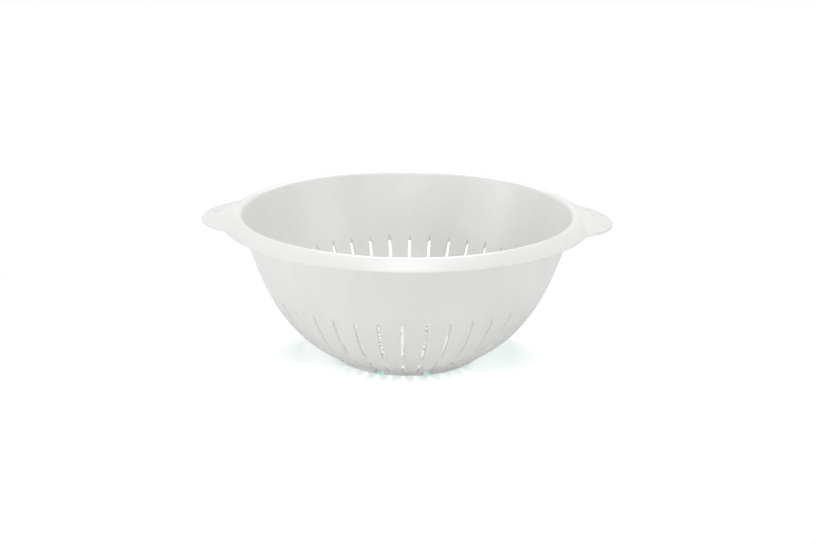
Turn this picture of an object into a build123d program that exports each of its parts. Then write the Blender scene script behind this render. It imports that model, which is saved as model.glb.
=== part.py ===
"""A plastic colander: a deep round bowl with drain slots, a rolled rim, two ears and a ring of short feet.

The real object is a single moulding. Its regions are separate solids here, which meet face to face:
the rim, the plain, slotted and curved bands of the bowl, the floor, the two ears and the feet.

The origin is on the table, on the bowl's axis. +Z is up, the ears lie along X and the front is at -Y.
Lengths are in millimetres, heights are over the table, and radii are from the bowl's axis.
"""

import os
from math import asin, atan2, cos, degrees, radians, sin, tan

from build123d import *

# Bowl: its outer surface rises from the heel to the neck, and bulges from the straight line between them
wall = 2.0
heel_radius = 63.3
heel_lean = 60.2  # degrees from upright
heel_inner_round = 10.0
flare = 62.7
neck_height = 109.3
neck_lean = 16.5
bulge = 11.3
bulge_share = 0.60

# Rim: a lip turns outward and down over the neck, and a nearly straight skirt falls to the rim's edge
rim_overhang = 13.4
lip_inner_round = 2.1
skirt_lean = 26.0  # degrees from level, where it leaves the lip
skirt_drop = 6.8
skirt_edge_round = 0.8

# Feet: arcs of one ring under the floor
foot_count = 10
foot_height = 5.2
foot_wall = 2.0
foot_setback = 5.6
foot_gap = 5.6
foot_corner = 1.6

# Drain slots of the wall: a long ring, and at the same angles a short one that starts just past the feet
slot_count = 40
slot_width = 2.2
short_slot_past_foot = 2.0
short_slot_length = 20.1
slot_ring_gap = 6.2
long_slot_length = 22.6
slot_margin = 4.0

# Drain slots of the floor: an outer and an inner ring of radial slots round a plain centre
outer_ring_count = 40
outer_ring_length = 17.5
outer_ring_setback = 6.7
inner_ring_count = 20
inner_ring_gap = 4.0
plain_centre_radius = 12.0

# Ears: tongues that droop along an arc from the rim's crest and over its edge, and are crowned across
ear_reach = 16.2
ear_wall = 1.6
ear_outline_radius = 52.3
ear_ridge_radius = 145.0
ear_crown_radius = 170.0
ear_lift = 4.5
ear_edge_round = 0.6
hang_slot_length = 7.0
hang_slot_width = 2.6
hang_slot_setback = 12.6

# The largest round that the edge of a wall may have, as a share of its thickness
edge_round_share = 0.4

right_angle = 90.0
front_angle = -right_angle
on_base = (Align.CENTER, Align.CENTER, Align.MIN)

os.makedirs("parts", exist_ok=True)

# Section of the bowl: radius across, height up
neck_rise = Vector(sin(radians(neck_lean)), cos(radians(neck_lean)))
heel_rise = Vector(sin(radians(heel_lean)), cos(radians(heel_lean)))
heel = Vector(heel_radius, foot_height)
neck = Vector(heel_radius + flare, neck_height)
chord = neck - heel
shoulder = heel + chord * bulge_share + Vector(chord.Y, -chord.X).normalized() * bulge
outer_curve = Spline(neck, shoulder, heel, tangents=(-neck_rise, -heel_rise))


def inside(share):
    """Point of the wall's inner surface, square across from a share of the outer curve's length."""
    direction = outer_curve % share
    return outer_curve @ share + Vector(direction.Y, -direction.X) * wall


inner_shares = (0.2, 0.4, 0.6, 0.8)
neck_inner = inside(0)
heel_inner = heel + Vector(-wall * tan(radians(right_angle - heel_lean) / 2), wall)
inner_points = [inside(share) for share in inner_shares]
inner_curve = Spline(neck_inner, *inner_points, heel_inner, tangents=(-neck_rise, -heel_rise))

# Section of the rim: the lip starts on the neck's inner edge, in line with the wall, and its crest is level
lip_round = lip_inner_round + wall
lip_curve = JernArc(neck_inner, neck_rise, lip_round, neck_lean - right_angle - skirt_lean)
crest = lip_curve.arc_center + Vector(0, lip_round)
rim_radius = neck.X + rim_overhang
skirt_edge = Vector(rim_radius, crest.Y - skirt_drop)
skirt_curve = TangentArc(lip_curve @ 1, skirt_edge, tangent=lip_curve % 1)

foot_radius = heel_radius - foot_setback
floor_radius = foot_radius + short_slot_past_foot / 2
short_slot_radius = foot_radius + short_slot_past_foot
between_slots_radius = short_slot_radius + short_slot_length + slot_ring_gap / 2
long_slot_radius = between_slots_radius + slot_ring_gap / 2


def wall_height(radius):
    """Height of the wall's outer surface at a radius."""
    return outer_curve.find_intersection_points(Axis((radius, 0, 0), (0, 1, 0)))[0].Y


# The bands of the bowl part above the long slots, and halfway between the long and the short ones
slotted_top = wall_height(long_slot_radius + long_slot_length + wall) + slot_margin
slotted_base = wall_height(between_slots_radius + wall / 2)

with BuildPart() as bowl_blank:
    with BuildSketch(Plane.XZ):
        with BuildLine() as bowl_line:
            add(outer_curve)
            Polyline(heel, (0, foot_height), (0, foot_height + wall), heel_inner)
            add(inner_curve)
            Line(neck_inner, neck)
            fillet(bowl_line.vertices().sort_by_distance(heel)[0], radius=heel_inner_round + wall)
            fillet(bowl_line.vertices().sort_by_distance(heel_inner)[0], radius=heel_inner_round)
        make_face()
    revolve(axis=Axis.Z)

# Everything under the rim's top surface, out to the rim's edge
with BuildPart() as rim_blank:
    with BuildSketch(Plane.XZ):
        with BuildLine():
            add(lip_curve)
            add(skirt_curve)
            Polyline(skirt_edge, (rim_radius, 0), (0, 0), (0, neck_inner.Y), neck_inner)
        make_face()
    revolve(axis=Axis.Z)


def slot_ring(count, inner_radius, length):
    """Plan of a ring of radial drain slots with round ends, one of them at the front."""
    with BuildSketch(Plane.XY) as ring:
        with PolarLocations(inner_radius + length / 2, count, start_angle=front_angle):
            SlotOverall(length, slot_width)
    return ring.sketch


def bowl_band(bottom, top):
    """Band of the bowl between two heights."""
    with BuildPart() as band:
        add(bowl_blank)
        with Locations((0, 0, bottom)):
            Cylinder(rim_radius, top - bottom, align=on_base, mode=Mode.INTERSECT)
    return band.part


with BuildPart() as rim:
    with BuildSketch(Plane.XZ):
        with BuildLine():
            add(lip_curve)
            add(skirt_curve)
            offset(amount=wall, side=Side.RIGHT)
        make_face()
    revolve(axis=Axis.Z)
    rings = rim.edges().filter_by(GeomType.CIRCLE).group_by(SortBy.RADIUS)
    fillet(rings[-1] + rings[-2], radius=min(skirt_edge_round, wall * edge_round_share))
rim.part.label = "rim"
export_step(rim.part, "parts/rim.step")

with BuildPart() as upper_wall:
    add(bowl_band(slotted_top, crest.Y))
upper_wall.part.label = "upper_wall"
export_step(upper_wall.part, "parts/upper_wall.step")

with BuildPart() as slotted_wall:
    add(bowl_band(slotted_base, slotted_top))
    long_slots = slot_ring(slot_count, long_slot_radius, long_slot_length)
    extrude(long_slots, amount=neck_height, mode=Mode.SUBTRACT)
slotted_wall.part.label = "slotted_wall"
export_step(slotted_wall.part, "parts/slotted_wall.step")

with BuildPart() as base_curve:
    add(bowl_band(0, slotted_base))
    Cylinder(floor_radius, neck_height, mode=Mode.SUBTRACT)
    short_slots = slot_ring(slot_count, short_slot_radius, short_slot_length)
    extrude(short_slots, amount=neck_height, mode=Mode.SUBTRACT)
base_curve.part.label = "base_curve"
export_step(base_curve.part, "parts/base_curve.step")

with BuildPart() as drain_floor:
    add(bowl_band(0, slotted_base))
    Cylinder(floor_radius, neck_height, mode=Mode.INTERSECT)
    outer_ring_radius = foot_radius - outer_ring_setback - outer_ring_length
    outer_slots = slot_ring(outer_ring_count, outer_ring_radius, outer_ring_length)
    extrude(outer_slots, amount=neck_height, mode=Mode.SUBTRACT)
    inner_ring_length = outer_ring_radius - inner_ring_gap - plain_centre_radius
    inner_slots = slot_ring(inner_ring_count, plain_centre_radius, inner_ring_length)
    extrude(inner_slots, amount=neck_height, mode=Mode.SUBTRACT)
drain_floor.part.label = "drain_floor"
export_step(drain_floor.part, "parts/drain_floor.step")

# The ear's ridge is an arc from the crest, through a point that stands the ear's lift over the rim's edge
ear_tip = rim_radius + ear_reach
over_edge = Vector(rim_radius, skirt_edge.Y + ear_lift)
ridge_chord = over_edge - crest
chord_lean = atan2(-ridge_chord.Y, ridge_chord.X)
ridge_lean = chord_lean - asin(ridge_chord.length / (2 * ear_ridge_radius))
ridge_start = Vector(cos(ridge_lean), -sin(ridge_lean))
ridge_sweep = degrees(2 * (ear_tip - crest.X) / ear_ridge_radius)
ridge = JernArc(crest, ridge_start, ear_ridge_radius, -ridge_sweep)


def ear_strip(thickness):
    """The right ear's crowned strip, of a thickness under its top face, inside the ear's outline."""
    with BuildPart() as strip:
        with BuildSketch(Plane.XZ):
            with BuildLine():
                add(ridge)
                offset(amount=thickness, side=Side.RIGHT)
            make_face()
        revolve(axis=Axis((0, 0, crest.Y - ear_crown_radius), (1, 0, 0)))
        with BuildSketch(Plane.XY):
            with Locations((ear_tip - ear_outline_radius, 0)):
                Circle(ear_outline_radius)
        extrude(amount=2 * crest.Y, mode=Mode.INTERSECT)
    return strip.part


# The ear's root fills the space between the strip and the rim, out to the rim's edge
with BuildPart() as ear_root:
    add(ear_strip(ear_wall + skirt_drop))
    Cylinder(rim_radius, 2 * crest.Y, align=on_base, mode=Mode.INTERSECT)

with BuildPart() as right_handle:
    add(ear_strip(ear_wall))
    outline = right_handle.faces().filter_by(GeomType.CYLINDER).sort_by(Axis.X)
    fillet(outline[-1].edges(), radius=min(ear_edge_round, ear_wall * edge_round_share))
    add(ear_root)
    add(rim_blank, mode=Mode.SUBTRACT)
    with BuildSketch(Plane.XY):
        with Locations((ear_tip - hang_slot_setback, 0)):
            SlotOverall(hang_slot_length, hang_slot_width)
    extrude(amount=2 * crest.Y, mode=Mode.SUBTRACT)
right_handle.part.label = "right_handle"
export_step(right_handle.part, "parts/right_handle.step")

with BuildPart() as left_handle:
    mirror(right_handle.part, about=Plane.YZ)
left_handle.part.label = "left_handle"
export_step(left_handle.part, "parts/left_handle.step")

foot_pitch = 360 / foot_count
foot_sweep = foot_pitch - degrees(foot_gap / foot_radius)
for number in range(foot_count):
    first_angle = front_angle + number * foot_pitch - foot_sweep / 2
    with BuildPart() as foot:
        with BuildSketch():
            with BuildLine():
                outer_arc = CenterArc((0, 0), foot_radius, first_angle, foot_sweep)
                inner_arc = CenterArc((0, 0), foot_radius - foot_wall, first_angle, foot_sweep)
                Line(outer_arc @ 0, inner_arc @ 0)
                Line(outer_arc @ 1, inner_arc @ 1)
            make_face()
        extrude(amount=foot_height)
        ends = foot.faces().sort_by(Axis.Z)[0].edges().filter_by(GeomType.LINE)
        fillet(ends, radius=foot_corner)
    foot.part.label = f"foot_{number + 1:02d}"
    export_step(foot.part, f"parts/{foot.part.label}.step")
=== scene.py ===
"""The looks of a white plastic colander: moulded surfaces, satin finishes, a white studio and its camera."""

import logging
import math
from collections.abc import Callable
from dataclasses import dataclass, field
from enum import Enum

import bmesh
import bpy
import numpy as np
from mathutils import Matrix, Vector


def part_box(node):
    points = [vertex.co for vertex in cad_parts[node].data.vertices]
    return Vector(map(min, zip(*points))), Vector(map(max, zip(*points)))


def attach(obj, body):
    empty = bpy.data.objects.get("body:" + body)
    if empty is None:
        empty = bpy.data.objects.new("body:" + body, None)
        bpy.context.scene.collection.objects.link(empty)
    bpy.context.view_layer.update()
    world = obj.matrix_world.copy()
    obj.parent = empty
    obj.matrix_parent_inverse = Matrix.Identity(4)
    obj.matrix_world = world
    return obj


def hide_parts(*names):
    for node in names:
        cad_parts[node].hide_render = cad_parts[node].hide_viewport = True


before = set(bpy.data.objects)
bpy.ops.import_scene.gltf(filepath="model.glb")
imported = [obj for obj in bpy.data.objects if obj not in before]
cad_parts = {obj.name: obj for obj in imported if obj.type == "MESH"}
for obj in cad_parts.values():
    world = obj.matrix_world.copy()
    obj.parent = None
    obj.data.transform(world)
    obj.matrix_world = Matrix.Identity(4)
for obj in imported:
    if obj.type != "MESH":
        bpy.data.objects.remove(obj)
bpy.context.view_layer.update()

LOG = logging.getLogger("colander")
MM = 0.001
BODY = "root"
FRONT = -math.pi / 2


class Skin(Enum):
    """The two faces of a moulded wall."""

    OUTER = "outer"
    INNER = "inner"


class Side(Enum):
    """The two ears, by the sign of X that they stand on."""

    RIGHT = 1
    LEFT = -1


def node_low(node: str) -> Vector:
    """Lowest corner of a CAD node, in metres."""
    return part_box(node)[0]


def node_high(node: str) -> Vector:
    """Highest corner of a CAD node, in metres."""
    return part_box(node)[1]


def polar(radius: np.ndarray, angle: np.ndarray, height: np.ndarray) -> np.ndarray:
    """Points from radius, angle and height: x = r cos a, y = r sin a, z = h.

    Args:
        radius: Distances from the bowl's axis.
        angle: Angles from +X, in radians.
        height: Heights over the table.

    Returns:
        An array of the common shape with a last axis of three.
    """
    radius, angle, height = np.broadcast_arrays(radius, angle, height)
    return np.stack([radius * np.cos(angle), radius * np.sin(angle), height], axis=-1)


def quarter_turn(steps: int) -> np.ndarray:
    """Angles from 0 to a right angle in even steps."""
    return np.linspace(0, math.pi / 2, steps + 1)


@dataclass
class Shell:
    """Grids of points that are welded into one closed mesh.

    Each grid is an array of rows x columns x 3, and each of its cells becomes a quad.
    Grids share the points along their common borders, which the weld then joins.
    """

    name: str
    crease_degrees: float = 32.0
    weld: float = 0.0005 * MM
    grids: list[np.ndarray] = field(default_factory=list)
    closed_columns: list[bool] = field(default_factory=list)

    def add(self, grid: np.ndarray, closed: bool = False) -> None:
        """Adds a grid of points.

        Args:
            grid: Points in rows and columns.
            closed: Whether the last column joins the first.
        """
        self.grids.append(grid)
        self.closed_columns.append(closed)

    def cells(self, rows: int, columns: int, closed: bool) -> np.ndarray:
        """Corner numbers of each cell of a grid.

        Args:
            rows: Rows of points.
            columns: Columns of points.
            closed: Whether the last column joins the first.

        Returns:
            One row of four point numbers for each cell.
        """
        across = columns if closed else columns - 1
        row, column = np.meshgrid(np.arange(rows - 1), np.arange(across), indexing="ij")
        after = (column + 1) % columns
        low, high = row * columns, (row + 1) * columns
        return np.stack([low + column, low + after, high + after, high + column], axis=-1).reshape(-1, 4)

    def make(self) -> bpy.types.Object:
        """Welds the grids into a mesh object with outward faces and soft shading.

        Returns:
            The linked object, which sits at the origin.
        """
        points, faces, start = [], [], 0
        for grid, closed in zip(self.grids, self.closed_columns):
            rows, columns = grid.shape[:2]
            points.append(grid.reshape(-1, 3))
            faces.append(self.cells(rows, columns, closed) + start)
            start += rows * columns
        mesh = bpy.data.meshes.new(self.name)
        mesh.from_pydata(np.concatenate(points), [], np.concatenate(faces))
        work = bmesh.new()
        work.from_mesh(mesh)
        bmesh.ops.remove_doubles(work, verts=work.verts, dist=self.weld)
        bmesh.ops.dissolve_degenerate(work, dist=self.weld / 2, edges=work.edges)
        bmesh.ops.recalc_face_normals(work, faces=work.faces)
        work.to_mesh(mesh)
        work.free()
        mesh.polygons.foreach_set("use_smooth", np.ones(len(mesh.polygons), dtype=bool))
        mesh.set_sharp_from_angle(angle=math.radians(self.crease_degrees))
        mesh.update()
        obj = bpy.data.objects.new(self.name, mesh)
        bpy.context.scene.collection.objects.link(obj)
        return obj


@dataclass(frozen=True)
class BowlSection:
    """Section of the bowl's wall: radius across, height up.

    The outer face rises from the heel to the neck on a cubic curve through a shoulder, which stands out from
    the straight line between them. The inner face is square across the wall from it.
    """

    wall: float = 2.0 * MM
    heel_radius: float = 63.3 * MM
    heel_lean: float = math.radians(60.2)
    heel_round: float = 12.0 * MM
    neck_radius: float = 126.0 * MM
    neck_height: float = 109.3 * MM
    neck_lean: float = math.radians(16.5)
    bulge: float = 11.3 * MM
    bulge_share: float = 0.60
    samples: int = 600
    heel_points: int = 24
    flat_points: int = 12

    @property
    def floor_height(self) -> float:
        """Height of the floor's underside, which the feet carry."""
        return node_high("foot_01").z

    def curve(self) -> tuple[np.ndarray, np.ndarray]:
        """The outer face from neck to heel, and its directions.

        The curve is a cubic Hermite spline over chord lengths. The slopes at its ends lie along the leans and
        are as large as the slopes of the parabola through the three points, and the middle slope makes the
        bend continuous.

        Returns:
            Points and unit directions, one row for each sample.
        """
        neck = np.array([self.neck_radius, self.neck_height])
        heel = np.array([self.heel_radius, self.floor_height])
        chord = neck - heel
        square = np.array([chord[1], -chord[0]]) / np.linalg.norm(chord)
        shoulder = heel + chord * self.bulge_share + square * self.bulge
        points = np.stack([neck, shoulder, heel])
        spans = np.linalg.norm(np.diff(points, axis=0), axis=1)
        knots = np.concatenate([[0.0], np.cumsum(spans)])
        parabola = np.stack([np.polyfit(knots, points[:, axis], 2) for axis in range(2)])
        slopes = np.zeros_like(points)
        for end, lean in ((0, self.neck_lean), (2, self.heel_lean)):
            direction = -np.array([math.sin(lean), math.cos(lean)])
            steep = 2 * parabola[:, 0] * knots[end] + parabola[:, 1]
            slopes[end] = direction * np.abs(steep).sum() / np.abs(direction).sum()
        upper, lower = np.diff(points, axis=0)
        pull = 3 * (upper * spans[1] / spans[0] + lower * spans[0] / spans[1])
        slopes[1] = (pull - spans[1] * slopes[0] - spans[0] * slopes[2]) / (2 * spans.sum())
        parts = []
        for first, span in enumerate(spans):
            t = np.linspace(0, 1, self.samples)[:, None]
            ahead = points[first + 1] * (3 * t**2 - 2 * t**3) + slopes[first + 1] * span * (t**3 - t**2)
            behind = points[first] * (2 * t**3 - 3 * t**2 + 1) + slopes[first] * span * (t**3 - 2 * t**2 + t)
            parts.append((ahead + behind)[first:])
        line = np.concatenate(parts)
        direction = np.gradient(line, axis=0)
        return line, direction / np.linalg.norm(direction, axis=1, keepdims=True)

    def face(self, skin: Skin) -> np.ndarray:
        """One face of the wall from the axis out to the neck: a flat floor, a round heel and the curve.

        Args:
            skin: Which face.

        Returns:
            Radius and height, one row for each point, with the radius rising.
        """
        depth = self.wall if skin is Skin.INNER else 0.0
        line, direction = self.curve()
        inward = np.stack([direction[:, 1], -direction[:, 0]], axis=1)
        centres = line + inward * self.heel_round
        touch = int(np.argmin(np.abs(centres[:, 1] - self.floor_height - self.heel_round)))
        middle = np.array([centres[touch, 0], self.floor_height + self.heel_round])
        radius = self.heel_round - depth
        lean = math.atan2(-direction[touch, 1], -direction[touch, 0])
        turn = np.linspace(0, lean, self.heel_points)[1:-1]
        heel = middle + radius * np.stack([np.sin(turn), -np.cos(turn)], axis=1)
        out = np.linspace(0, middle[0], self.flat_points)
        flat = np.stack([out, np.full(self.flat_points, self.floor_height + depth)], axis=1)
        rising = (line + inward * depth)[: touch + 1][::-1]
        return np.concatenate([flat, heel, rising])

    def height(self, skin: Skin, radius: np.ndarray) -> np.ndarray:
        """Height of a face at a radius."""
        face = self.face(skin)
        return np.interp(radius, face[:, 0], face[:, 1])

    def radius(self, skin: Skin, height: float) -> float:
        """Radius of a face at a height above the floor."""
        face = self.face(skin)
        depth = self.wall if skin is Skin.INNER else 0
        rising = face[face[:, 1] > self.floor_height + self.wall / 2 + depth]
        return float(np.interp(height, rising[:, 1], rising[:, 0]))


@dataclass(frozen=True)
class Stadium:
    """Plan of a slot: a straight stretch with a half circle at each end, along +X from the axis."""

    start: float
    length: float
    width: float

    def loop(self, straight: int, bend: int, grow: float) -> np.ndarray:
        """Points round the slot, in the order +Y side outward, outer end, -Y side inward, inner end.

        Args:
            straight: Steps along each side.
            bend: Steps round each end.
            grow: How far the loop stands outside the slot.

        Returns:
            Plan points, with no point repeated.
        """
        half = self.width / 2
        near, far = self.start + half, self.start + self.length - half
        along = np.linspace(near, far, straight + 1)[:-1]
        turn = np.linspace(math.pi / 2, -math.pi / 2, bend + 1)[:-1]
        reach = half + grow
        side = np.stack([along, np.full(straight, reach)], axis=1)
        end = np.stack([far + reach * np.cos(turn), reach * np.sin(turn)], axis=1)
        back = np.stack([along[::-1] + (far - near) / straight, np.full(straight, -reach)], axis=1)
        start = np.stack([near - reach * np.cos(turn), -reach * np.sin(turn)], axis=1)
        return np.concatenate([side, end, back, start])


@dataclass(frozen=True)
class SlotNet:
    """A closed net of wall round one slot: over the lower face, up the slot and back over the upper face.

    Each loop of the net has the same count of points, so the net is one grid.
    """

    slot: Stadium
    straight: int = 22
    bend: int = 10
    rings: int = 6
    crowding: float = 0.8
    edge_round: float = 0.3 * MM
    edge_steps: int = 3

    def face(self, border: np.ndarray, height: Callable, sign: float) -> np.ndarray:
        """Loops from a border over one face and into the slot's edge.

        On the face a point is a blend of the border and the slot's grown outline, at the face's height there.
        Round the slot's edge the outline shrinks as the sine of a quarter turn while the depth grows as one
        minus its cosine.

        Args:
            border: Plan points round the net, in step with the slot's own loop.
            height: Height of the face at plan points.
            sign: 1 where the depth goes up, and -1 where it goes down.

        Returns:
            Loops by points by three.
        """
        grown = self.slot.loop(self.straight, self.bend, self.edge_round)
        share = np.linspace(0, 1, self.rings + 1)[:, None, None] ** self.crowding
        plan = border * (1 - share) + grown * share
        turn = quarter_turn(self.edge_steps)[1:]
        grow = self.edge_round * (1 - np.sin(turn))
        edge = np.stack([self.slot.loop(self.straight, self.bend, step) for step in grow])
        drop = sign * self.edge_round * (1 - np.cos(turn))[:, None]
        heights = np.concatenate([height(plan), height(edge) + drop])
        return np.concatenate([np.concatenate([plan, edge]), heights[..., None]], axis=-1)

    def grid(self, lower: np.ndarray, upper: np.ndarray, low: Callable, high: Callable) -> np.ndarray:
        """The net, from the lower face's border to the upper face's border.

        Args:
            lower: Border on the lower face.
            upper: Border on the upper face.
            low: Height of the lower face at plan points.
            high: Height of the upper face at plan points.

        Returns:
            Loops by points by three.
        """
        return np.concatenate([self.face(lower, low, 1.0), self.face(upper, high, -1.0)[::-1]])


@dataclass(frozen=True)
class SlotRing:
    """A ring of equal sectors of wall, each with one radial drain slot in its middle."""

    count: int
    net: SlotNet
    inner_border: tuple[float, float]
    outer_border: tuple[float, float]

    def border(self, inner: float, outer: float) -> np.ndarray:
        """Plan points round one sector's border, in step with the slot's own loop.

        Args:
            inner: Radius of the near border.
            outer: Radius of the far border.

        Returns:
            Plan points, with no point repeated.
        """
        straight, bend = self.net.straight, self.net.bend
        half = math.pi / self.count
        out = np.linspace(inner, outer, straight + 1)[:-1]
        sweep = np.linspace(half, -half, bend + 1)[:-1]
        back = out[::-1] + (outer - inner) / straight
        radius = np.concatenate([out, np.full(bend, outer), back, np.full(bend, inner)])
        angle = np.concatenate([np.full(straight, half), sweep, np.full(straight, -half), -sweep])
        return polar(radius, angle, 0)[:, :2]

    def turned(self, grid: np.ndarray, number: int) -> np.ndarray:
        """A grid turned from +X to the place of one sector."""
        angle = FRONT + number * 2 * math.pi / self.count
        cosine, sine = math.cos(angle), math.sin(angle)
        return grid @ np.array([[cosine, sine, 0], [-sine, cosine, 0], [0, 0, 1]])

    def fill(self, shell: Shell, low: Callable, high: Callable, near_cap: bool, far_cap: bool) -> None:
        """Adds every sector to a shell, with caps between the two faces where asked.

        Args:
            shell: The mesh under way.
            low: Height of the lower face at plan points.
            high: Height of the upper face at plan points.
            near_cap: Whether the near border is closed.
            far_cap: Whether the far border is closed.
        """
        lower = self.border(self.inner_border[0], self.outer_border[0])
        upper = self.border(self.inner_border[1], self.outer_border[1])
        grid = self.net.grid(lower, upper, low, high)
        straight, bend = self.net.straight, self.net.bend
        far = slice(straight, straight + bend + 1)
        near = np.r_[2 * straight + bend : 2 * (straight + bend), 0]
        for number in range(self.count):
            shell.add(self.turned(grid, number), closed=True)
            if far_cap:
                shell.add(self.turned(grid[[0, -1]][:, far], number))
            if near_cap:
                shell.add(self.turned(grid[[0, -1]][:, near], number))


def revolve(shell: Shell, section: np.ndarray, columns: int) -> None:
    """Adds a section turned about the bowl's axis: each point keeps its radius and height at every angle.

    Args:
        shell: The mesh under way.
        section: Radius and height, one row for each point.
        columns: Steps round the axis.
    """
    angle = FRONT + np.arange(columns) * 2 * math.pi / columns
    shell.add(polar(section[:, :1], angle[None, :], section[:, 1:]), closed=True)


@dataclass(frozen=True)
class PlasticFinish:
    """A satin white moulded surface: pale colour with faint flow marks, fine grain and light scuffs."""

    name: str
    refraction: float = 1.49
    light: tuple[float, float, float] = (0.805, 0.805, 0.79)
    dark: tuple[float, float, float] = (0.78, 0.78, 0.765)
    roughness: float = 0.34
    roughness_spread: float = 0.08
    grain_size: float = 0.45 * MM
    grain_depth: float = 0.012 * MM
    flow_streaks: float = 5.0
    scuffs: float = 0.25

    def build(self) -> bpy.types.Material:
        """Builds the material from the shared groups.

        Returns:
            The material, with its shader's plain values on its own sockets.
        """
        material = bpy.data.materials.new(self.name)
        material.use_nodes = True
        nodes, links = material.node_tree.nodes, material.node_tree.links
        shader = nodes["Principled BSDF"]
        shader.inputs["IOR"].default_value = self.refraction
        place = nodes.new("ShaderNodeTexCoord")
        flow = nodes.new("ShaderNodeGroup")
        flow.node_tree = flow_marks()
        flow.inputs["Streaks"].default_value = self.flow_streaks
        flow.inputs["Dark"].default_value = (*self.dark, 1)
        flow.inputs["Light"].default_value = (*self.light, 1)
        grain = nodes.new("ShaderNodeGroup")
        grain.node_tree = moulded_grain()
        grain.inputs["Scale"].default_value = 1 / self.grain_size
        grain.inputs["Scuffs"].default_value = self.scuffs
        grain.inputs["Smooth"].default_value = self.roughness
        grain.inputs["Rough"].default_value = self.roughness + self.roughness_spread
        bump = nodes.new("ShaderNodeBump")
        bump.inputs["Strength"].default_value = 1.0
        bump.inputs["Distance"].default_value = self.grain_depth
        for group in (flow, grain):
            links.new(place.outputs["Object"], group.inputs["Place"])
        links.new(flow.outputs["Colour"], shader.inputs["Base Color"])
        links.new(grain.outputs["Roughness"], shader.inputs["Roughness"])
        links.new(grain.outputs["Height"], bump.inputs["Height"])
        links.new(bump.outputs["Normal"], shader.inputs["Normal"])
        return material


def new_group(name: str, inputs: dict[str, str], outputs: dict[str, str]) -> tuple:
    """Starts a shader node group, or finds it if it is built already.

    Args:
        name: The group's name.
        inputs: Socket type for each input's name.
        outputs: Socket type for each output's name.

    Returns:
        The group, its input node and its output node; the nodes are None if the group was there.
    """
    if name in bpy.data.node_groups:
        return bpy.data.node_groups[name], None, None
    group = bpy.data.node_groups.new(name, "ShaderNodeTree")
    for direction, sockets in (("INPUT", inputs), ("OUTPUT", outputs)):
        for socket, kind in sockets.items():
            group.interface.new_socket(name=socket, in_out=direction, socket_type=kind)
    return group, group.nodes.new("NodeGroupInput"), group.nodes.new("NodeGroupOutput")


def flow_marks() -> bpy.types.NodeTree:
    """Group for the faint cloudy streaks that melt leaves as it flows out from the middle of the floor.

    A noise is read at the unit vector away from the axis times Streaks, plus the height, so that its marks
    run along the wall. A broad noise is added, and the sum mixes Dark and Light.

    Returns:
        The group.
    """
    inputs = {
        "Place": "NodeSocketVector",
        "Streaks": "NodeSocketFloat",
        "Dark": "NodeSocketColor",
        "Light": "NodeSocketColor",
    }
    group, start, end = new_group("flow_marks", inputs, {"Colour": "NodeSocketColor"})
    if start is None:
        return group
    nodes, links = group.nodes, group.links
    flat = nodes.new("ShaderNodeVectorMath")
    flat.operation = "MULTIPLY"
    flat.inputs[1].default_value = (1, 1, 0)
    away = nodes.new("ShaderNodeVectorMath")
    away.operation = "NORMALIZE"
    spread = nodes.new("ShaderNodeVectorMath")
    spread.operation = "SCALE"
    shifted = nodes.new("ShaderNodeVectorMath")
    shifted.operation = "MULTIPLY_ADD"
    shifted.inputs[1].default_value = (8, 8, 8)
    streaks = nodes.new("ShaderNodeTexNoise")
    streaks.inputs["Scale"].default_value = 1.0
    streaks.inputs["Detail"].default_value = 4.0
    clouds = nodes.new("ShaderNodeTexNoise")
    clouds.inputs["Scale"].default_value = 28.0
    clouds.inputs["Detail"].default_value = 3.0
    blend = nodes.new("ShaderNodeMath")
    blend.operation = "MULTIPLY_ADD"
    blend.inputs[1].default_value = 0.5
    half = nodes.new("ShaderNodeMath")
    half.operation = "MULTIPLY"
    half.inputs[1].default_value = 0.5
    ramp = nodes.new("ShaderNodeMapRange")
    ramp.interpolation_type = "SMOOTHSTEP"
    ramp.inputs["From Min"].default_value = 0.38
    ramp.inputs["From Max"].default_value = 0.62
    mix = nodes.new("ShaderNodeMix")
    mix.data_type = "RGBA"
    links.new(start.outputs["Place"], flat.inputs[0])
    links.new(flat.outputs[0], away.inputs[0])
    links.new(away.outputs[0], spread.inputs[0])
    links.new(start.outputs["Streaks"], spread.inputs["Scale"])
    links.new(start.outputs["Place"], shifted.inputs[0])
    links.new(spread.outputs[0], shifted.inputs[2])
    links.new(shifted.outputs[0], streaks.inputs["Vector"])
    links.new(start.outputs["Place"], clouds.inputs["Vector"])
    links.new(clouds.outputs[0], half.inputs[0])
    links.new(streaks.outputs[0], blend.inputs[0])
    links.new(half.outputs[0], blend.inputs[2])
    links.new(blend.outputs[0], ramp.inputs["Value"])
    links.new(ramp.outputs[0], mix.inputs["Factor"])
    links.new(start.outputs["Dark"], mix.inputs["A"])
    links.new(start.outputs["Light"], mix.inputs["B"])
    links.new(mix.outputs["Result"], end.inputs["Colour"])
    return group


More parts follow.
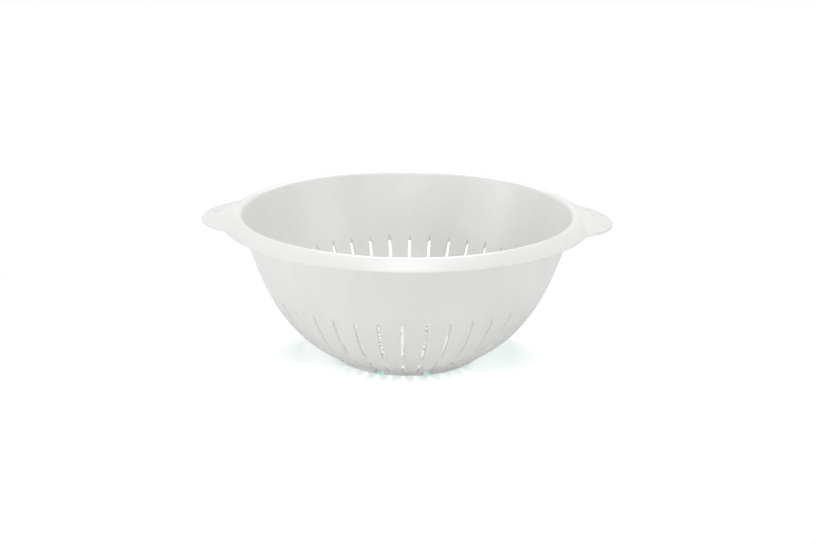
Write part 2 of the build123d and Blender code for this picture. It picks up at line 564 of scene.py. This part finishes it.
def moulded_grain() -> bpy.types.NodeTree:
    """Group for the fine grain that the mould's skin leaves, and for light scuffs from washing and stacking.

    The grain is a fine noise. The scuffs are a stretched noise kept above a threshold. Roughness goes from
    Smooth to Rough with both, and Height is the grain less the scuffs.

    Returns:
        The group.
    """
    inputs = {
        "Place": "NodeSocketVector",
        "Scale": "NodeSocketFloat",
        "Scuffs": "NodeSocketFloat",
        "Smooth": "NodeSocketFloat",
        "Rough": "NodeSocketFloat",
    }
    outputs = {"Height": "NodeSocketFloat", "Roughness": "NodeSocketFloat"}
    group, start, end = new_group("moulded_grain", inputs, outputs)
    if start is None:
        return group
    nodes, links = group.nodes, group.links
    grain = nodes.new("ShaderNodeTexNoise")
    grain.inputs["Detail"].default_value = 2.0
    stretch = nodes.new("ShaderNodeMapping")
    stretch.inputs["Rotation"].default_value = (0.4, 0.3, 0.9)
    stretch.inputs["Scale"].default_value = (900, 60, 500)
    marks = nodes.new("ShaderNodeTexNoise")
    marks.inputs["Scale"].default_value = 1.0
    marks.inputs["Detail"].default_value = 3.0
    keep = nodes.new("ShaderNodeMapRange")
    keep.inputs["From Min"].default_value = 0.62
    keep.inputs["From Max"].default_value = 0.80
    weight = nodes.new("ShaderNodeMath")
    weight.operation = "MULTIPLY"
    rough_share = nodes.new("ShaderNodeMath")
    rough_share.operation = "MULTIPLY_ADD"
    rough_share.inputs[1].default_value = 0.6
    rough_share.use_clamp = True
    rough = nodes.new("ShaderNodeMapRange")
    height = nodes.new("ShaderNodeMath")
    height.operation = "SUBTRACT"
    links.new(start.outputs["Place"], grain.inputs["Vector"])
    links.new(start.outputs["Scale"], grain.inputs["Scale"])
    links.new(start.outputs["Place"], stretch.inputs["Vector"])
    links.new(stretch.outputs[0], marks.inputs["Vector"])
    links.new(marks.outputs[0], keep.inputs["Value"])
    links.new(keep.outputs[0], weight.inputs[0])
    links.new(start.outputs["Scuffs"], weight.inputs[1])
    links.new(grain.outputs[0], rough_share.inputs[0])
    links.new(weight.outputs[0], rough_share.inputs[2])
    links.new(rough_share.outputs[0], rough.inputs["Value"])
    links.new(start.outputs["Smooth"], rough.inputs["To Min"])
    links.new(start.outputs["Rough"], rough.inputs["To Max"])
    links.new(grain.outputs[0], height.inputs[0])
    links.new(weight.outputs[0], height.inputs[1])
    links.new(height.outputs[0], end.inputs["Height"])
    links.new(rough.outputs[0], end.inputs["Roughness"])
    return group


def dress(obj: bpy.types.Object, material: bpy.types.Material, *nodes: str) -> bpy.types.Object:
    """Gives a piece its finish and body, and hides the CAD nodes that it stands for.

    Args:
        obj: The piece.
        material: Its finish.
        nodes: CAD nodes that it replaces.

    Returns:
        The piece.
    """
    obj.data.materials.clear()
    obj.data.materials.append(material)
    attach(obj, BODY)
    if nodes:
        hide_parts(*nodes)
    return obj


@dataclass(frozen=True)
class Bowl:
    """The bowl: its plain, slotted and base bands, and the drain floor."""

    section: BowlSection = BowlSection()
    columns: int = 400
    wall_slots: int = 40
    floor_slots: int = 20
    face_step: int = 6
    floor_straight: int = 14
    floor_bend: int = 10
    disc_rings: int = 12
    slot_width: float = 2.2 * MM
    foot_setback: float = 5.6 * MM
    short_past_foot: float = 2.0 * MM
    short_length: float = 20.1 * MM
    ring_gap: float = 6.2 * MM
    long_length: float = 22.6 * MM
    outer_setback: float = 6.7 * MM
    outer_length: float = 17.5 * MM
    inner_gap: float = 4.0 * MM
    centre_radius: float = 12.0 * MM

    @property
    def foot_radius(self) -> float:
        """Radius of the feet's outer faces."""
        return self.section.heel_radius - self.foot_setback

    @property
    def short_start(self) -> float:
        """Radius at which the short slots start."""
        return self.foot_radius + self.short_past_foot

    def low(self, plan: np.ndarray) -> np.ndarray:
        """Height of the lower face at plan points."""
        return self.section.height(Skin.OUTER, np.linalg.norm(plan, axis=-1))

    def high(self, plan: np.ndarray) -> np.ndarray:
        """Height of the upper face at plan points."""
        return self.section.height(Skin.INNER, np.linalg.norm(plan, axis=-1))

    def borders(self, height: float) -> tuple[float, float]:
        """Radii of the outer and inner faces at a height."""
        return self.section.radius(Skin.OUTER, height), self.section.radius(Skin.INNER, height)

    def plain_wall(self) -> bpy.types.Object:
        """The band between the long slots and the neck, as a closed section turned about the axis."""
        split = node_high("slotted_wall").z
        parts = []
        for skin, edge in zip((Skin.OUTER, Skin.INNER), self.borders(split)):
            face = self.section.face(skin)
            rising = face[face[:, 1] > split]
            parts.append(np.concatenate([[[edge, split]], rising[:: self.face_step], rising[-1:]]))
        outer, inner = parts
        shell = Shell("plain_wall")
        revolve(shell, np.concatenate([outer, inner[::-1], outer[:1]]), self.columns)
        return shell.make()

    def slotted_band(self) -> bpy.types.Object:
        """The band with the long slots."""
        bottom, top = node_low("slotted_wall").z, node_high("slotted_wall").z
        start = self.short_start + self.short_length + self.ring_gap
        slot = Stadium(start, self.long_length, self.slot_width)
        ring = SlotRing(self.wall_slots, SlotNet(slot), self.borders(bottom), self.borders(top))
        shell = Shell("slotted_band")
        ring.fill(shell, self.low, self.high, near_cap=True, far_cap=True)
        return shell.make()

    def base_band(self) -> bpy.types.Object:
        """The band with the short slots and the heel."""
        edge = node_high("drain_floor").x
        slot = Stadium(self.short_start, self.short_length, self.slot_width)
        top = self.borders(node_high("base_curve").z)
        ring = SlotRing(self.wall_slots, SlotNet(slot), (edge, edge), top)
        shell = Shell("base_band")
        ring.fill(shell, self.low, self.high, near_cap=True, far_cap=True)
        return shell.make()

    def drain_floor(self) -> bpy.types.Object:
        """The floor: two rings of radial slots round a plain disc."""
        edge = node_high("drain_floor").x
        start = self.foot_radius - self.outer_setback - self.outer_length
        outer = Stadium(start, self.outer_length, self.slot_width)
        inner_length = outer.start - self.inner_gap - self.centre_radius
        inner = Stadium(self.centre_radius, inner_length, self.slot_width)
        between = outer.start - self.inner_gap / 2
        middle = self.centre_radius - self.inner_gap / 2
        shell = Shell("drain_plate")
        wide_net = SlotNet(outer, self.floor_straight, self.floor_bend)
        wide = SlotRing(self.wall_slots, wide_net, (between, between), (edge, edge))
        wide.fill(shell, self.low, self.high, near_cap=False, far_cap=True)
        ratio = self.wall_slots // self.floor_slots
        tight_net = SlotNet(inner, self.floor_straight, self.floor_bend * ratio)
        tight = SlotRing(self.floor_slots, tight_net, (middle, middle), (between, between))
        tight.fill(shell, self.low, self.high, near_cap=False, far_cap=False)
        columns = self.wall_slots * self.floor_bend
        angle = FRONT + math.pi / self.wall_slots + np.arange(columns) * 2 * math.pi / columns
        disc = polar(np.linspace(0, middle, self.disc_rings)[:, None], angle[None, :], 0)[..., :2]
        for height in (self.low, self.high):
            shell.add(np.concatenate([disc, height(disc)[..., None]], axis=-1), closed=True)
        return shell.make()

    def build(self, finish: bpy.types.Material, floor_finish: bpy.types.Material) -> list[bpy.types.Object]:
        """Builds and dresses the bowl's bands.

        Args:
            finish: Finish of the wall.
            floor_finish: Finish of the floor.

        Returns:
            The pieces.
        """
        return [
            dress(self.plain_wall(), finish, "upper_wall"),
            dress(self.slotted_band(), finish, "slotted_wall"),
            dress(self.base_band(), finish, "base_curve"),
            dress(self.drain_floor(), floor_finish, "drain_floor"),
        ]


@dataclass(frozen=True)
class Rim:
    """The rolled rim: a lip that turns outward over the neck, and a skirt that falls to the rim's edge."""

    section: BowlSection = BowlSection()
    lip_inner_round: float = 2.1 * MM
    overhang: float = 13.4 * MM
    skirt_lean: float = math.radians(26.0)
    skirt_drop: float = 6.8 * MM
    edge_round: float = 0.8 * MM
    lip_points: int = 30
    skirt_points: int = 20
    edge_steps: int = 5
    columns: int = 400

    @property
    def neck_inner(self) -> np.ndarray:
        """Radius and height of the wall's inner edge at the neck."""
        lean, wall = self.section.neck_lean, self.section.wall
        neck = np.array([self.section.neck_radius, self.section.neck_height])
        return neck + wall * np.array([-math.cos(lean), math.sin(lean)])

    @property
    def lip(self) -> float:
        """Radius of the lip's outer face."""
        return self.lip_inner_round + self.section.wall

    @property
    def lip_centre(self) -> np.ndarray:
        """Centre of the lip's arc."""
        lean = self.section.neck_lean
        return self.neck_inner + self.lip * np.array([math.cos(lean), -math.sin(lean)])

    @property
    def crest(self) -> np.ndarray:
        """Radius and height of the rim's highest circle."""
        return self.lip_centre + np.array([0, self.lip])

    @property
    def edge_radius(self) -> float:
        """Radius of the rim's edge."""
        return self.section.neck_radius + self.overhang

    @property
    def skirt(self) -> tuple[np.ndarray, float, float]:
        """Centre, radius and last lean of the skirt's arc, which starts in line with the lip's end.

        The arc turns by twice the angle between its chord and its first direction.
        """
        square = np.array([math.sin(self.skirt_lean), math.cos(self.skirt_lean)])
        start = self.lip_centre + self.lip * square
        across, fall = self.edge_radius - start[0], start[1] - self.crest[1] + self.skirt_drop
        turn = math.atan2(fall, across) - self.skirt_lean
        bend = math.hypot(across, fall) / (2 * math.sin(turn))
        return start - bend * square, bend, self.skirt_lean + 2 * turn

    def top(self, radius: np.ndarray) -> np.ndarray:
        """Height of the rim's upper face at a radius outside the crest: the lip's arc, then the skirt's."""
        centre, bend, _ = self.skirt
        past_lip = radius > self.lip_centre[0] + self.lip * math.sin(self.skirt_lean)
        lip = np.sqrt(np.maximum(self.lip**2 - (radius - self.lip_centre[0]) ** 2, 0))
        skirt = np.sqrt(np.maximum(bend**2 - (radius - centre[0]) ** 2, 0))
        return np.where(past_lip, centre[1] + skirt, self.lip_centre[1] + lip)

    def closed_section(self) -> np.ndarray:
        """The rim's closed section: lip and skirt arcs, a rounded edge, and the same arcs one wall below."""
        wall, short = self.section.wall, self.edge_round
        centre, bend, last = self.skirt
        trim = short / (bend - wall / 2)
        lip_turn = np.linspace(self.section.neck_lean - math.pi / 2, self.skirt_lean, self.lip_points)
        skirt_turn = np.linspace(self.skirt_lean, last - trim, self.skirt_points)[1:]

        def arc(middle: np.ndarray, radius: float, turn: np.ndarray) -> np.ndarray:
            """Points of an arc, with the turn taken from straight up towards outward."""
            return middle + radius * np.stack([np.sin(turn), np.cos(turn)], axis=1)

        def round_edge(radius: float, sign: float) -> np.ndarray:
            """Quarter round between a face of the skirt and the end of its wall."""
            turn = quarter_turn(self.edge_steps)[1:]
            along = last - trim + trim * np.sin(turn)
            depth = radius - sign * short * (1 - np.cos(turn))
            return centre + depth[:, None] * np.stack([np.sin(along), np.cos(along)], axis=1)

        upper = [
            arc(self.lip_centre, self.lip, lip_turn),
            arc(centre, bend, skirt_turn),
            round_edge(bend, 1),
        ]
        lower = [
            arc(self.lip_centre, self.lip_inner_round, lip_turn),
            arc(centre, bend - wall, skirt_turn),
            round_edge(bend - wall, -1),
        ]
        return np.concatenate([*upper, np.concatenate(lower)[::-1], upper[0][:1]])

    def build(self, finish: bpy.types.Material) -> list[bpy.types.Object]:
        """Builds and dresses the rim."""
        shell = Shell("rolled_rim")
        revolve(shell, self.closed_section(), self.columns)
        return [dress(shell.make(), finish, "rim")]


@dataclass(frozen=True)
class Ear:
    """A drooping tongue, crowned across, that grows out of the rim, with a hanging slot.

    Its upper face is the rim's face and the crowned strip joined by a soft maximum, and it sinks into the rim
    inside the crease. Its plan is an arc about the bowl's axis inside and a circle outside. Over the rim it is
    solid down into the rim, and past it the strip is a thin wall.
    """

    rim: Rim = Rim()
    wall: float = 1.6 * MM
    outline_radius: float = 52.3 * MM
    ridge_radius: float = 145.0 * MM
    crown_radius: float = 170.0 * MM
    lift: float = 4.5 * MM
    blend: float = 0.35 * MM
    sink: float = 0.3 * MM
    root_depth: float = 11.0 * MM
    root_sink: float = 0.5 * MM
    edge_round: float = 0.6 * MM
    edge_steps: int = 4
    crease_degrees: float = 40.0
    slot_length: float = 7.0 * MM
    slot_width: float = 2.6 * MM
    slot_setback: float = 12.6 * MM
    across: int = 96
    root_rows: int = 26
    rows: int = 26
    slot_rows: int = 17
    slot_columns: int = 12
    slot_rings: int = 4

    @property
    def tip(self) -> float:
        """X of the ear's tip."""
        return node_high("right_handle").x

    @property
    def shore(self) -> float:
        """Radius at which the ear leaves the rim: inside the round of the rim's edge."""
        return self.rim.edge_radius - self.rim.edge_round

    @property
    def ridge_centre(self) -> np.ndarray:
        """X and height of the middle of the ridge's arc, from the rim's crest to over the rim's edge.

        The arc starts at its chord's lean less half the angle that it turns by.
        """
        across = self.rim.edge_radius - self.rim.crest[0]
        fall = self.rim.skirt_drop - self.lift
        lean = math.atan2(fall, across) - math.asin(math.hypot(across, fall) / (2 * self.ridge_radius))
        return self.rim.crest - self.ridge_radius * np.array([math.sin(lean), math.cos(lean)])

    def strip(self, plan: np.ndarray, depth: float = 0) -> np.ndarray:
        """Height of the strip: the ridge's arc, turned about a level line a crown radius under the crest.

        Args:
            plan: Plan points.
            depth: How far under the upper face.

        Returns:
            Heights.
        """
        centre = self.ridge_centre
        ridge = centre[1] + np.sqrt((self.ridge_radius - depth) ** 2 - (plan[..., 0] - centre[0]) ** 2)
        level = self.rim.crest[1] - self.crown_radius
        return level + np.sqrt((ridge - level) ** 2 - plan[..., 1] ** 2)

    def top(self, plan: np.ndarray) -> np.ndarray:
        """Height of the ear's upper face.

        The soft maximum of two heights a and b is their blend by h plus k h (1 - h), where h runs from 0 to 1
        as a - b runs from -k to k. Where the rim is higher by more than k, the face sinks below it. Past the
        rim's edge only the strip is left.
        """
        rim = self.rim.top(np.linalg.norm(plan, axis=-1))
        strip = self.strip(plan)
        share = np.clip(0.5 + 0.5 * (strip - rim) / self.blend, 0, 1)
        soft = rim * (1 - share) + strip * share + self.blend * share * (1 - share)
        hidden = np.clip((rim - strip - self.blend) / self.blend, 0, 1)
        return soft - self.sink * hidden**2 * (3 - 2 * hidden)

    def under(self, plan: np.ndarray) -> np.ndarray:
        """Height of the thin wall's lower face."""
        return self.top(plan) - self.strip(plan) + self.strip(plan, self.wall)

    def outline(self, reach: float) -> np.ndarray:
        """Plan of a circle about the ear's middle, from one crossing with the shore to the other.

        Args:
            reach: The circle's radius.

        Returns:
            Plan points.
        """
        centre = self.tip - self.outline_radius
        crossing = (self.shore**2 - centre**2 - reach**2) / (2 * centre * reach)
        turn = math.acos(crossing) * np.linspace(-1, 1, self.across + 1)
        return np.stack([centre + reach * np.cos(turn), reach * np.sin(turn)], axis=1)

    def plan(self) -> tuple[np.ndarray, np.ndarray]:
        """Plan points row by row: from the root to the shore, and from the shore to the outline's round."""
        outline = self.outline(self.outline_radius - self.edge_round)
        angle = np.arctan2(outline[:, 1], outline[:, 0])
        shore = polar(np.full(angle.shape, self.shore), angle, 0)[:, :2]
        root = shore * (1 - self.root_depth / self.shore)
        inward = np.linspace(0, 1, self.root_rows + 1)[:, None, None]
        outward = np.linspace(0, 1, self.rows + 1)[:, None, None]
        return root * (1 - inward) + shore * inward, shore * (1 - outward) + outline * outward

    def rounded(self, height: Callable, sign: float) -> np.ndarray:
        """Rows round the outline's edge, which grows as the sine of a quarter turn.

        It sinks as one minus the cosine.

        Args:
            height: Height of the face at plan points.
            sign: 1 for the lower face and -1 for the upper one.

        Returns:
            Rows by columns by three.
        """
        turn = quarter_turn(self.edge_steps)[1:]
        reach = self.outline_radius - self.edge_round * (1 - np.sin(turn))
        plan = np.stack([self.outline(step) for step in reach])
        drop = sign * self.edge_round * (1 - np.cos(turn))[:, None]
        return np.concatenate([plan, (height(plan) + drop)[..., None]], axis=-1)

    def make(self, side: Side) -> bpy.types.Object:
        """Builds one ear.

        The cells round the hanging slot are left out, and a net from their border to the slot fills them.

        Args:
            side: Which ear.

        Returns:
            The ear's object.
        """
        inner, outer = self.plan()

        def raised(plan: np.ndarray, height: np.ndarray) -> np.ndarray:
            """Plan points with heights."""
            return np.concatenate([plan, height[..., None]], axis=-1)

        root_top = raised(inner, self.top(inner))
        root_low = raised(inner, self.rim.top(np.linalg.norm(inner, axis=-1)) - self.root_sink)
        top = np.concatenate([raised(outer, self.top(outer)), self.rounded(self.top, -1)])
        low = np.concatenate([raised(outer, self.under(outer)), self.rounded(self.under, 1)])
        middle, half = self.across // 2, self.slot_columns // 2
        block = slice(middle - half, middle + half + 1)
        shell = Shell(f"{side.name.lower()}_ear", crease_degrees=self.crease_degrees)
        grids = [root_top, root_low, np.stack([root_top[0], root_low[0]]), np.stack([root_low[-1], low[0]])]
        for face in (top, low):
            grids += [face[:, : middle - half + 1], face[:, middle + half :], face[self.slot_rows :, block]]
        grids.append(np.stack([top[-1], low[-1]]))
        for column in (0, -1):
            grids.append(np.stack([root_top[:, column], root_low[:, column]]))
            grids.append(np.stack([top[:, column], low[:, column]]))
        window = outer[: self.slot_rows + 1, block]
        sides = (window[:-1, -1], window[-1, :0:-1], window[:0:-1, 0], window[0, :-1])
        border = np.concatenate(sides)
        start = self.tip - self.slot_setback - self.slot_length / 2
        slot = Stadium(start, self.slot_length, self.slot_width)
        net = SlotNet(slot, self.slot_rows, self.slot_columns, rings=self.slot_rings)
        grids.append(net.grid(border, border, self.under, self.top))
        for grid in grids:
            shell.add(grid * np.array([side.value, 1, 1]))
        shell.closed_columns[-1] = True
        return shell.make()

    def build(self, finish: bpy.types.Material) -> list[bpy.types.Object]:
        """Builds and dresses both ears."""
        return [
            dress(self.make(Side.RIGHT), finish, "right_handle"),
            dress(self.make(Side.LEFT), finish, "left_handle"),
        ]


@dataclass(frozen=True)
class Feet:
    """The ring of short feet: arcs of one thin wall under the floor, with softened corners."""

    count: int = 10
    setback: float = 5.6 * MM
    wall: float = 2.0 * MM
    gap: float = 5.6 * MM
    corner: float = 1.6 * MM
    edge_round: float = 0.3 * MM
    root: float = 0.6 * MM
    steps: int = 40
    end_steps: int = 8
    edge_steps: int = 4
    section: BowlSection = BowlSection()

    def arc(self, number: int) -> bpy.types.Object:
        """Builds one foot: a rounded section carried along its arc.

        At each station the section is a box with rounded lower corners. Near the ends its underside rises by
        the corner's round, and the whole section narrows by the edge's round.

        Args:
            number: The foot's number, from 0 at the front.

        Returns:
            The foot's object.
        """
        outer = self.section.heel_radius - self.setback
        middle = outer - self.wall / 2
        top = node_high("foot_01").z + self.root
        half_angle = math.pi / self.count - self.gap / outer / 2
        half_length = half_angle * middle
        ends = self.corner * (1 - np.cos(quarter_turn(self.end_steps)))
        inner = np.linspace(-half_length + self.corner, half_length - self.corner, self.steps)
        along = np.concatenate([-half_length + ends, inner[1:-1], (half_length - ends)[::-1]])
        to_end = half_length - np.abs(along)
        near = np.clip(1 - to_end / self.corner, 0, 1)
        rise = self.corner * (1 - np.sqrt(1 - near**2))
        close = np.clip(1 - to_end / self.edge_round, 0, 1)
        narrow = self.edge_round * (1 - np.sqrt(1 - close**2))
        half = self.wall / 2 - narrow
        turn = quarter_turn(self.edge_steps)
        soft = self.edge_round
        across = [half]
        up = [np.full(along.shape, top)]
        for angle in turn:
            across.append(half - soft * (1 - math.cos(angle)))
            up.append(rise + soft * (1 - math.sin(angle)))
        offsets = np.stack(across + [-a for a in across[::-1]])
        heights = np.stack(up + up[::-1])
        angle = FRONT + number * 2 * math.pi / self.count + along / middle
        shell = Shell(f"foot_arc_{number + 1:02d}")
        grid = polar(middle + offsets, angle[None, :], heights).transpose(1, 0, 2)
        shell.add(grid, closed=True)
        count = grid.shape[1] // 2
        for row in (0, -1):
            shell.add(np.stack([grid[row, :count], grid[row, count:][::-1]]))
        return shell.make()

    def build(self, finish: bpy.types.Material) -> list[bpy.types.Object]:
        """Builds and dresses every foot."""
        return [dress(self.arc(number), finish, f"foot_{number + 1:02d}") for number in range(self.count)]


@dataclass(frozen=True)
class Lamp:
    """A square soft lamp that points at the bowl's middle."""

    name: str
    place: tuple[float, float, float]
    size: float
    power: float

    def hang(self) -> None:
        """Hangs the lamp."""
        data = bpy.data.lights.new(self.name, "AREA")
        data.shape = "SQUARE"
        data.size = self.size
        data.energy = self.power
        obj = bpy.data.objects.new(self.name, data)
        aim = Vector((0, 0, node_high("rim").z / 2)) - Vector(self.place)
        turn = aim.to_track_quat("-Z", "Y").to_matrix().to_4x4()
        obj.matrix_world = Matrix.Translation(self.place) @ turn
        bpy.context.scene.collection.objects.link(obj)


@dataclass(frozen=True)
class Studio:
    """The plain white studio: a floor that keeps the shadow, a bright world, soft lamps and the camera."""

    image_width: int = 815
    sensor: float = 36.0
    focal_pixels: float = 1305.7
    stand: tuple[float, float, float] = (22.5 * MM, -958.6 * MM, 363.6 * MM)
    yaw: float = math.radians(1.293)
    pitch: float = math.radians(17.40)
    roll: float = math.radians(0.531)
    floor_half: float = 12.0
    floor_colour: tuple[float, float, float] = (0.97, 0.97, 0.97)
    shadow_depth: tuple[float, float, float] = (0.66, 0.20, 0.24)
    shadow_tint: tuple[float, float, float] = (0.0, 0.30, 0.26)
    clear_radii: tuple[float, float] = (0.22, 0.40)
    world_level: float = 0.11
    lamps: tuple[Lamp, ...] = (
        Lamp("overhead", (0, -0.05, 1.4), 0.45, 3.7),
        Lamp("over_back", (0, 0.9, 1.15), 0.6, 8.6),
        Lamp("over_front", (0, -0.8, 1.2), 0.6, 4.9),
        Lamp("front", (0, -1.7, 0.3), 0.6, 5.5),
        Lamp("high_left", (-1.5, -0.5, 0.9), 1.0, 3.0),
        Lamp("low_left", (-1.6, -0.5, 0.35), 0.7, 6.6),
        Lamp("high_right", (1.5, -0.5, 0.9), 1.0, 6.7),
        Lamp("low_right", (1.6, -0.5, 0.35), 0.7, 1.3),
    )

    def camera(self) -> None:
        """Makes the camera at the photograph's viewing angle and sets it as the scene's own."""
        data = bpy.data.cameras.new("view")
        data.sensor_width = self.sensor
        data.lens = self.focal_pixels * self.sensor / self.image_width
        data.clip_end = 4 * self.floor_half
        level = math.cos(self.pitch)
        ahead = Vector((-math.sin(self.yaw) * level, math.cos(self.yaw) * level, -math.sin(self.pitch)))
        right = Vector((math.cos(self.yaw), math.sin(self.yaw), 0))
        up = right.cross(ahead)
        turned_right = right * math.cos(self.roll) + up * math.sin(self.roll)
        turned_up = up * math.cos(self.roll) - right * math.sin(self.roll)
        turn = Matrix((turned_right, turned_up, -ahead)).transposed().to_4x4()
        obj = bpy.data.objects.new("view", data)
        obj.matrix_world = Matrix.Translation(self.stand) @ turn
        bpy.context.scene.collection.objects.link(obj)
        bpy.context.scene.camera = obj

    def floor_material(self) -> bpy.types.Material:
        """White floor: to the camera a bright one, on which only the deep part of the shadow shows, tinted.

        Past the shadow it is plain white. Other rays meet a plain matt floor.

        Returns:
            The material.
        """
        material = bpy.data.materials.new("studio_floor")
        material.use_nodes = True
        nodes, links = material.node_tree.nodes, material.node_tree.links
        nodes.remove(nodes["Principled BSDF"])

        def surface(kind: str, colour: tuple[float, float, float]) -> bpy.types.NodeSocket:
            """A plain shader of one colour."""
            node = nodes.new(kind)
            node.inputs["Color"].default_value = (*colour, 1)
            return node.outputs[0]

        def joined(first: bpy.types.NodeSocket, second: bpy.types.NodeSocket) -> bpy.types.NodeSocket:
            """The sum of two shaders."""
            node = nodes.new("ShaderNodeAddShader")
            links.new(first, node.inputs[0])
            links.new(second, node.inputs[1])
            return node.outputs[0]

        plain = surface("ShaderNodeBsdfDiffuse", (1, 1, 1))
        bright = joined(plain, surface("ShaderNodeBsdfDiffuse", self.shadow_depth))
        seen = joined(bright, surface("ShaderNodeEmission", self.shadow_tint))
        place = nodes.new("ShaderNodeTexCoord")
        away = nodes.new("ShaderNodeVectorMath")
        away.operation = "LENGTH"
        past = nodes.new("ShaderNodeMapRange")
        past.interpolation_type = "SMOOTHSTEP"
        past.inputs["From Min"].default_value, past.inputs["From Max"].default_value = self.clear_radii
        links.new(place.outputs["Object"], away.inputs[0])
        links.new(away.outputs["Value"], past.inputs["Value"])
        clear = nodes.new("ShaderNodeMixShader")
        links.new(past.outputs[0], clear.inputs["Fac"])
        links.new(seen, clear.inputs[1])
        links.new(surface("ShaderNodeEmission", (1, 1, 1)), clear.inputs[2])
        path = nodes.new("ShaderNodeLightPath")
        mix = nodes.new("ShaderNodeMixShader")
        links.new(path.outputs["Is Camera Ray"], mix.inputs["Fac"])
        links.new(surface("ShaderNodeBsdfDiffuse", self.floor_colour), mix.inputs[1])
        links.new(clear.outputs[0], mix.inputs[2])
        links.new(mix.outputs[0], nodes["Material Output"].inputs["Surface"])
        return material

    def floor(self) -> None:
        """Lays the floor, which isn't part of the object."""
        span = np.array([-self.floor_half, self.floor_half])
        x, y = np.meshgrid(span, span, indexing="ij")
        shell = Shell("studio_floor")
        shell.add(np.stack([x, y, np.zeros_like(x)], axis=-1))
        obj = shell.make()
        if obj.data.polygons[0].normal.z < 0:
            obj.data.flip_normals()
        obj.data.materials.append(self.floor_material())

    def world(self) -> None:
        """Soft light from all round, seen as plain white."""
        world = bpy.data.worlds.new("studio")
        bpy.context.scene.world = world
        world.use_nodes = True
        nodes, links = world.node_tree.nodes, world.node_tree.links
        light = nodes["Background"]
        light.inputs["Color"].default_value = (1, 1, 1, 1)
        light.inputs["Strength"].default_value = self.world_level
        white = nodes.new("ShaderNodeBackground")
        white.inputs["Color"].default_value = (1, 1, 1, 1)
        white.inputs["Strength"].default_value = 1.0
        path = nodes.new("ShaderNodeLightPath")
        seen = nodes.new("ShaderNodeMath")
        seen.operation = "MAXIMUM"
        mix = nodes.new("ShaderNodeMixShader")
        links.new(path.outputs["Is Camera Ray"], seen.inputs[0])
        links.new(path.outputs["Is Glossy Ray"], seen.inputs[1])
        links.new(seen.outputs[0], mix.inputs["Fac"])
        links.new(light.outputs[0], mix.inputs[1])
        links.new(white.outputs[0], mix.inputs[2])
        links.new(mix.outputs[0], nodes["World Output"].inputs["Surface"])

    def build(self) -> None:
        """Sets up the studio."""
        self.camera()
        self.floor()
        self.world()
        for lamp in self.lamps:
            lamp.hang()
        bpy.context.scene.view_settings.view_transform = "Standard"


def main(studio: Studio = Studio()) -> None:
    """Builds the colander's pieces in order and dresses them.

    Args:
        studio: The studio that they stand in.
    """
    logging.basicConfig(level=logging.INFO, format="%(message)s")
    studio.build()
    wall = PlasticFinish("wall_white").build()
    floor = PlasticFinish("floor_white", roughness=0.38, scuffs=0.5).build()
    rim = PlasticFinish("rim_white", roughness=0.28, grain_depth=0.008 * MM).build()
    feet = PlasticFinish("foot_white", roughness=0.42, scuffs=0.6).build()
    pieces = Bowl().build(wall, floor) + Rim().build(rim) + Ear().build(rim) + Feet().build(feet)
    for piece in pieces:
        LOG.info("%s: %d faces", piece.name, len(piece.data.polygons))


if __name__ == "__main__":
    main()
